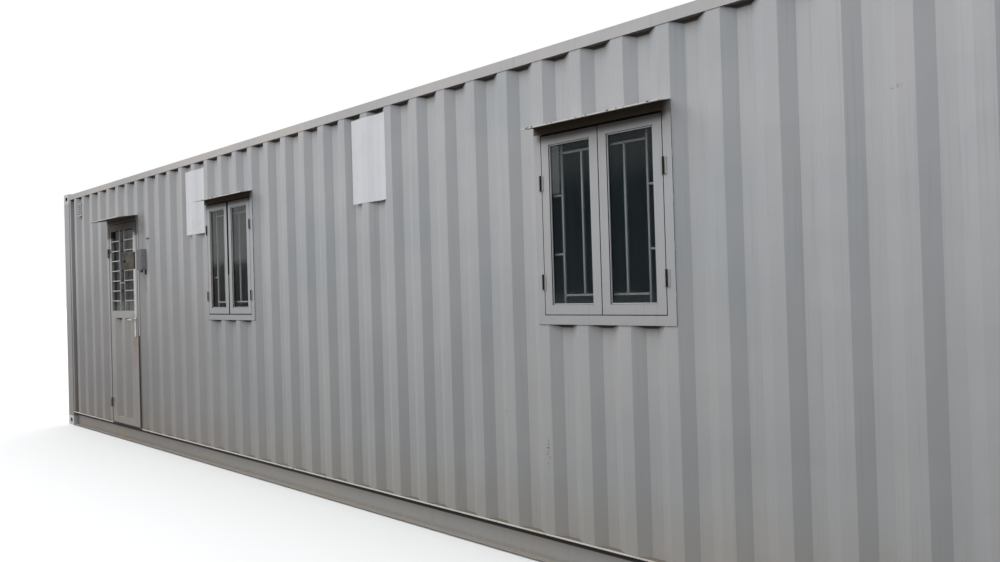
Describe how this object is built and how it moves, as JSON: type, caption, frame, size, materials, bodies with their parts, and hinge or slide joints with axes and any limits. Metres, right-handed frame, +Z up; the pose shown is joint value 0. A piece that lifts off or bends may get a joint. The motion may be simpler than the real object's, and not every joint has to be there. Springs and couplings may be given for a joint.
{
  "type": "shipping container cabin",
  "caption": "High-cube shipping container cabin with corrugated steel walls, a side man-door with grille, two casement windows and cargo doors at one end.",
  "frame": {"origin": "on the ground, at the centre of the whole outline, door hood included", "axes": "+X from the blind end to the cargo doors, +Z up; the side with the man-door and windows faces -Y"},
  "size_m": [12.192, 2.632, 2.896],
  "materials": {
    "wall_steel": "weathered light grey paint",
    "frame_steel": "weathered light grey paint",
    "casting": "weathered grey paint over cast steel",
    "fitting_steel": "light grey paint",
    "hood_steel": "light grey paint with rust at the edges",
    "grille_steel": "pale grey paint",
    "hinge_steel": "dark worn steel",
    "lock_steel": "dull greenish grey",
    "lever_steel": "dull steel",
    "guard_steel": "darker grey paint",
    "bar_steel": "grey paint worn to galvanised steel",
    "floor_boards": "worn plywood",
    "vent_plastic": "painted over in light grey",
    "glass": "dusty"
  },
  "bodies": {
    "cabin": {"bottom_corner_castings": "casting", "top_corner_castings": "casting", "corner_posts": "frame_steel", "top_rail_front": "frame_steel", "top_rail_back": "frame_steel", "bottom_rail_front": "frame_steel", "bottom_rail_back": "frame_steel", "blind_end_sill": "frame_steel", "blind_end_header": "frame_steel", "cargo_end_sill": "frame_steel", "cargo_end_header": "frame_steel", "floor_crossmembers": "frame_steel", "floor": "floor_boards", "roof_panel": "wall_steel", "back_wall": "wall_steel", "front_wall_left": "wall_steel", "front_wall_over_door": "wall_steel", "front_wall_right": "wall_steel", "blind_end_wall": "wall_steel", "door_jambs": "fitting_steel", "door_head": "fitting_steel", "door_hinge_pins": "fitting_steel", "door_hood": "hood_steel", "far_window_frame": "fitting_steel", "far_window_sashes": "fitting_steel", "far_window_panes": "glass", "far_window_hood": "hood_steel", "near_window_frame": "fitting_steel", "near_window_sashes": "fitting_steel", "near_window_panes": "glass", "near_window_hood": "hood_steel", "window_hinges": "hinge_steel", "padlock_guard": "guard_steel", "ventilators": "vent_plastic", "cargo_door_left": "wall_steel", "cargo_door_right": "wall_steel", "locking_bars": "bar_steel", "cargo_door_hinges": "bar_steel", "locking_handles": "bar_steel"},
    "door": {"door_leaf": "fitting_steel", "door_panel": "wall_steel", "door_grille": "grille_steel", "door_pane": "glass", "door_lock_plate": "lock_steel", "door_escutcheon": "lock_steel", "door_hinge_barrels": "fitting_steel"},
    "door_lever": {"door_lever": "lever_steel"}
  },
  "joints": [
    {"name": "door_hinge", "type": "hinge", "parent": "cabin", "child": "door", "pos_m": [-4.5695, -1.131, 0.4], "axis": [0, 0, -1], "range_deg": [0, 165]},
    {"name": "lever_turn", "type": "hinge", "parent": "door", "child": "door_lever", "pos_m": [-3.846, -1.119, 1.337], "axis": [0, -1, 0], "range_deg": [0, 45], "stiffness_Nm_per_rad": 1.2, "springref_deg": -20.05}
  ]
}
